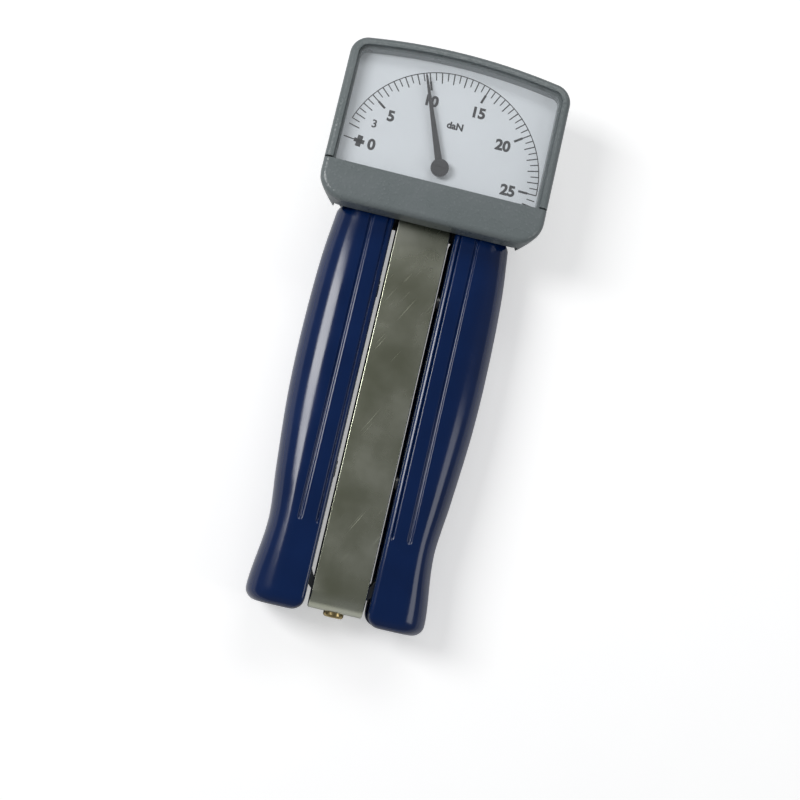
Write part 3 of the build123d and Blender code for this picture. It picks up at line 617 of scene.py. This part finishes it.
def scale_lines():
    """A mark for each half unit, a longer one for each unit, and one with a heavy inner end for each five."""
    bars = []
    for half in range(2 * first_mark, 2 * last_mark + 1):
        angle = value_angle(half / 2)
        if half % 10 == 0:
            bars += [mark(angle, shape) for shape in five_mark]
        elif half % 2 == 0:
            bars.append(mark(angle, unit_mark))
        else:
            bars.append(mark(angle, half_mark))
    return bars


def scale_arc():
    """The arc over the marks, in short straight pieces."""
    first, last = value_angle(scale_last), value_angle(arc_first)
    step_angle = (last - first) / arc_steps
    length = scale_radius * radians(step_angle) + 2 * arc_overlap
    inner, outer = scale_radius - arc_width / 2, scale_radius + arc_width / 2
    return [printed_bar(inner, outer, first + step_angle * (step + 0.5), length) for step in range(arc_steps)]


def zero_mark():
    """A thin line with a bold cross on it, where the pointer stands with no load."""
    return [mark(zero_angle, shape) for shape in zero_cross]


def printed_word(word, x, y, height, weight):
    bpy.ops.object.text_add(location=((pivot_x + x) * MM, (pivot_y + y) * MM, (dial_z + print_height) * MM))
    text = bpy.context.object
    text.data.body = word
    text.data.size = height * size_per_height * MM
    text.data.align_x = "CENTER"
    text.data.align_y = "CENTER"
    text.data.offset = weight * MM
    make_active(text)
    bpy.ops.object.convert(target="MESH")
    return bpy.context.object


def add_dial_print():
    marks = scale_lines() + scale_arc() + zero_mark()
    words = [printed_word(*word) for word in dial_words]
    for name, pieces in (("scale_marks", marks), ("scale_numbers", words)):
        for piece in pieces:
            apply_place(piece)
        finish_piece(join(pieces), name, "head", PRINT_BLACK)


# Grips


def side_reach(down):
    """How far the outer side of the grip stands from the middle, on a smooth curve through its widths."""
    down = min(max(down, grip_side[0][0]), grip_side[-1][0])
    last = len(grip_side) - 1
    index = max(k for k in range(last) if grip_side[k][0] <= down)

    def slope(k):
        (y0, v0), (y1, v1) = grip_side[max(k - 1, 0)], grip_side[min(k + 1, last)]
        return (v1 - v0) / (y1 - y0)

    (y0, v0), (y1, v1) = grip_side[index], grip_side[index + 1]
    span = y1 - y0
    t = (down - y0) / span
    return (
        (2 * t**3 - 3 * t**2 + 1) * v0
        + (t**3 - 2 * t**2 + t) * span * slope(index)
        + (3 * t**2 - 2 * t**3) * v1
        + (t**3 - t**2) * span * slope(index + 1)
    )


def bezier(p0, p1, p2, p3, t):
    u = 1 - t
    return u**3 * p0 + 3 * u * u * t * p1 + 3 * u * t * t * p2 + t**3 * p3


def channel_points(inner, mid):
    """The inner face's edge along the channel that the spring's leg lies in."""
    wall_x = max(spring_outer_x, inner + channel_edge)
    return [
        (wall_x, mid + 2.0),
        (wall_x, spring_high_z + 0.05),
        (wall_x - 0.05, spring_high_z + 0.15),
        (inner + 0.15, spring_high_z + 0.15),
        (inner, spring_high_z + 0.35),
    ]


def groove_points(x, nearest, front, sink):
    """A groove's slice across the front face, sunk by the given depth and never past the corner's edge."""
    w, rim = groove_half_width, groove_rim
    profile = ((-w - rim, 0.0), (-w, 0.06), (-0.45 * w, 1.0), (0.45 * w, 1.0), (w, 0.06), (w + rim, 0.0))
    return [(max(x + offset, nearest), front - share * sink * groove_depth) for offset, share in profile]


def front_half(reach, inset, sink):
    """Points of the front half of a grip's slice, from the inner face over the front to the outer side."""
    inner, front = grip_inner_x + inset, grip_depth - inset
    mid = grip_depth / 2
    r = grip_corner_radius
    points = channel_points(inner, mid) + [(inner, front - r)]
    for angle in (22.5, 45.0, 67.5):
        points.append((inner + r - r * cos(radians(angle)), front - r + r * sin(radians(angle))))
    points.append((inner + r, front))
    for x in groove_places:
        points += groove_points(x, inner + r + 0.05, front, sink)
    points.append((grip_flat_to - 0.4, front))
    wide = reach - inset - grip_flat_to
    tall = mid - inset
    for step in range(1, grip_round_steps + 1):
        t = step / grip_round_steps
        x = bezier(0.0, grip_roundness, 1.0, 1.0, t)
        z = bezier(1.0, 1.0, grip_roundness, 0.0, t)
        points.append((grip_flat_to + wide * x, mid + tall * z))
    return points


def grip_ring(y, side):
    """All the points of one slice of the grip, front and back."""
    from_end = y - grip_low_y
    inset = 0.0
    if from_end < grip_end_radius:
        inset = grip_end_radius - sqrt(max(grip_end_radius**2 - (grip_end_radius - from_end) ** 2, 0.0))
    sink = min(max((from_end - groove_end_above_bottom) / groove_run_out, 0.0), 1.0)
    half = front_half(side_reach(grip_high_y - y), inset, sink)
    back = [(x, grip_depth - z) for x, z in reversed(half[:-1])]
    return [Vector((side * x, y, z)) * MM for x, z in half + back]


def grip_slices():
    """Where the grip is sliced along its length, closer at its end and at the grooves' end."""
    slices = [grip_low_y + grip_end_radius * (1 - cos(radians(angle))) for angle in end_slice_angles]
    slices[0] += 0.01
    groove_y = grip_low_y + groove_end_above_bottom
    y = slices[-1]
    while y < grip_high_y - slice_gap_at_top:
        y += slice_step
        if abs(y - groove_y) > slice_gap_at_groove:
            slices.append(y)
    slices += [groove_y + along for along in groove_end_slices]
    slices.append(grip_high_y)
    return sorted(slices)


def ring_loop(ring):
    bpy.ops.mesh.primitive_circle_add(vertices=len(ring), radius=0.01, fill_type="NOTHING")
    loop = bpy.context.object
    for vertex, point in zip(loop.data.vertices, ring):
        vertex.co = point
    return loop


def close_end(grip, end_y):
    """A face over the loop that lies at one end."""
    bpy.ops.mesh.select_all(action="DESELECT")
    mesh = bmesh.from_edit_mesh(grip.data)
    for edge in mesh.edges:
        edge.select_set(all(abs(v.co.y - end_y) < 1e-7 for v in edge.verts))
    bmesh.update_edit_mesh(grip.data)
    bpy.ops.mesh.edge_face_add()


def add_grip(side, name, body, replaced):
    rings = [grip_ring(y, side) for y in grip_slices()]
    grip = join([ring_loop(ring) for ring in rings])
    open_edit(grip)
    bpy.ops.mesh.bridge_edge_loops()
    bpy.ops.mesh.select_mode(type="EDGE")
    close_end(grip, rings[0][0].y)
    close_end(grip, rings[-1][0].y)
    bpy.ops.mesh.select_all(action="SELECT")
    bpy.ops.mesh.normals_make_consistent(inside=False)
    close_edit()
    softener = grip.modifiers.new("Subsurf", "SUBSURF")
    softener.levels = softener.render_levels = 1
    bpy.ops.object.modifier_apply(modifier=softener.name)
    smooth(grip, grip_smooth_angle)
    finish_piece(grip, name, body, SLOT_LOOKS["blue_plastic"], (replaced,))


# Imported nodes


SEEN_NODES = (
    "front_case", "rear_case", "window_frame", "dial_plate", "center_strap", "end_screw",
    "pointer", "pointer_hub", "main_spring", "window_lens", "reset_knob", "case_screws",
)


def dress_frame():
    """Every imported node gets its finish. The ones in plain view are merged copies, shaded smooth."""
    slots = {part["node"]: part["material_slot"] for part in frame["record"]["subparts"]}
    for node, slot in slots.items():
        materials = nodes[node].data.materials
        materials.clear()
        materials.append(SLOT_LOOKS[slot])
    for node in SEEN_NODES:
        slot, body = slots[node], nodes[node]["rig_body"]
        finish_piece(merged_copy(node), node + "_finish", body, SLOT_LOOKS[slot], (node,))


add_studio()
dress_frame()
add_dial_print()
add_grip(-1, "left_grip_shell", "left_handle", "left_grip")
add_grip(1, "right_grip_shell", "right_handle", "right_grip")
